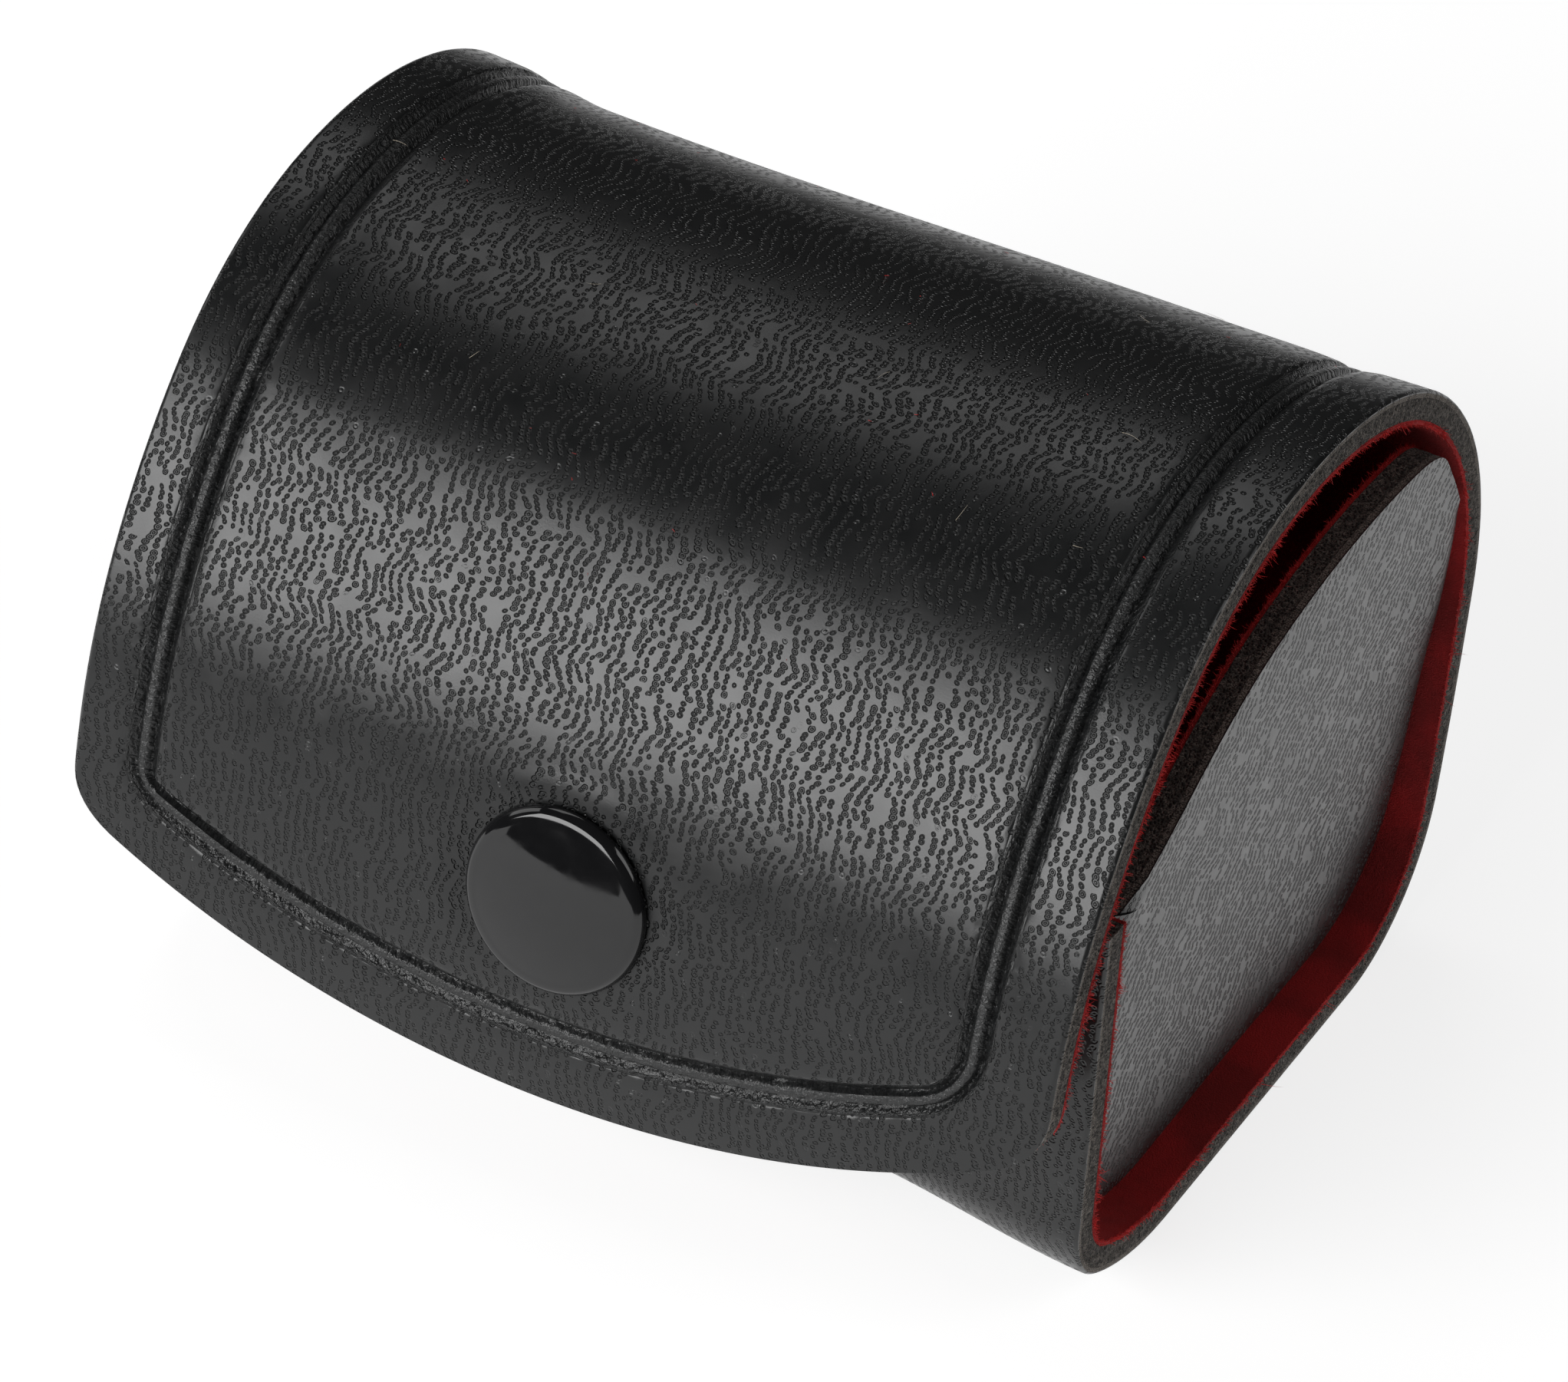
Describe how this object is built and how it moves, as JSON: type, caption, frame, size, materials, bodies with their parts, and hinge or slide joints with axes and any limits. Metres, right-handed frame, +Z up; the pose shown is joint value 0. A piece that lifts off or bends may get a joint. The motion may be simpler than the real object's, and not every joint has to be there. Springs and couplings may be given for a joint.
{
  "type": "jewelry box",
  "caption": "Small snap-closing jewelry box folded from one strip of padded leatherette, with a domed lid, a front flap, end gussets and a red lining.",
  "frame": {"origin": "bottom centre of the closed box's bounds, on the flat underside", "axes": "+X to the right along the strip's width, +Y to the back, +Z up"},
  "size_m": [0.068, 0.0602, 0.0515],
  "materials": {
    "skin": "black grained leatherette, satin",
    "foam": "brown-grey open-cell foam, matt cut edge",
    "lining": "red flocked velvet",
    "snap": "polished black"
  },
  "bodies": {
    "tray": {"tray_skin": "skin", "tray_foam": "foam", "tray_lining": "lining", "hinge_skin": "skin", "hinge_foam": "foam", "hinge_lining": "lining", "gusset_right_skin": "skin", "gusset_right_foam": "foam", "gusset_right_lining": "lining", "gusset_left_skin": "skin", "gusset_left_foam": "foam", "gusset_left_lining": "lining", "snap_stud": "snap", "snap_back_cap": "snap"},
    "lid": {"lid_skin": "skin", "lid_foam": "foam", "lid_lining": "lining", "flap_bend_skin": "skin", "flap_bend_foam": "foam", "flap_bend_lining": "lining"},
    "flap": {"flap_skin": "skin", "flap_foam": "foam", "flap_lining": "lining", "snap_cap": "snap", "snap_socket": "snap"}
  },
  "joints": [
    {"name": "lid_hinge", "type": "hinge", "parent": "tray", "child": "lid", "pos_m": [0, 0.0269, 0.03596], "axis": [-1, 0, 0], "range_deg": [0, 120], "deforming": ["hinge_skin", "hinge_foam", "hinge_lining"]},
    {"name": "flap_flex", "type": "hinge", "parent": "lid", "child": "flap", "pos_m": [0, -0.02314, 0.03281], "axis": [-1, 0, 0], "range_deg": [0, 20], "stiffness_Nm_per_rad": 0.05, "deforming": ["flap_bend_skin", "flap_bend_foam", "flap_bend_lining", "snap_socket"]}
  ]
}
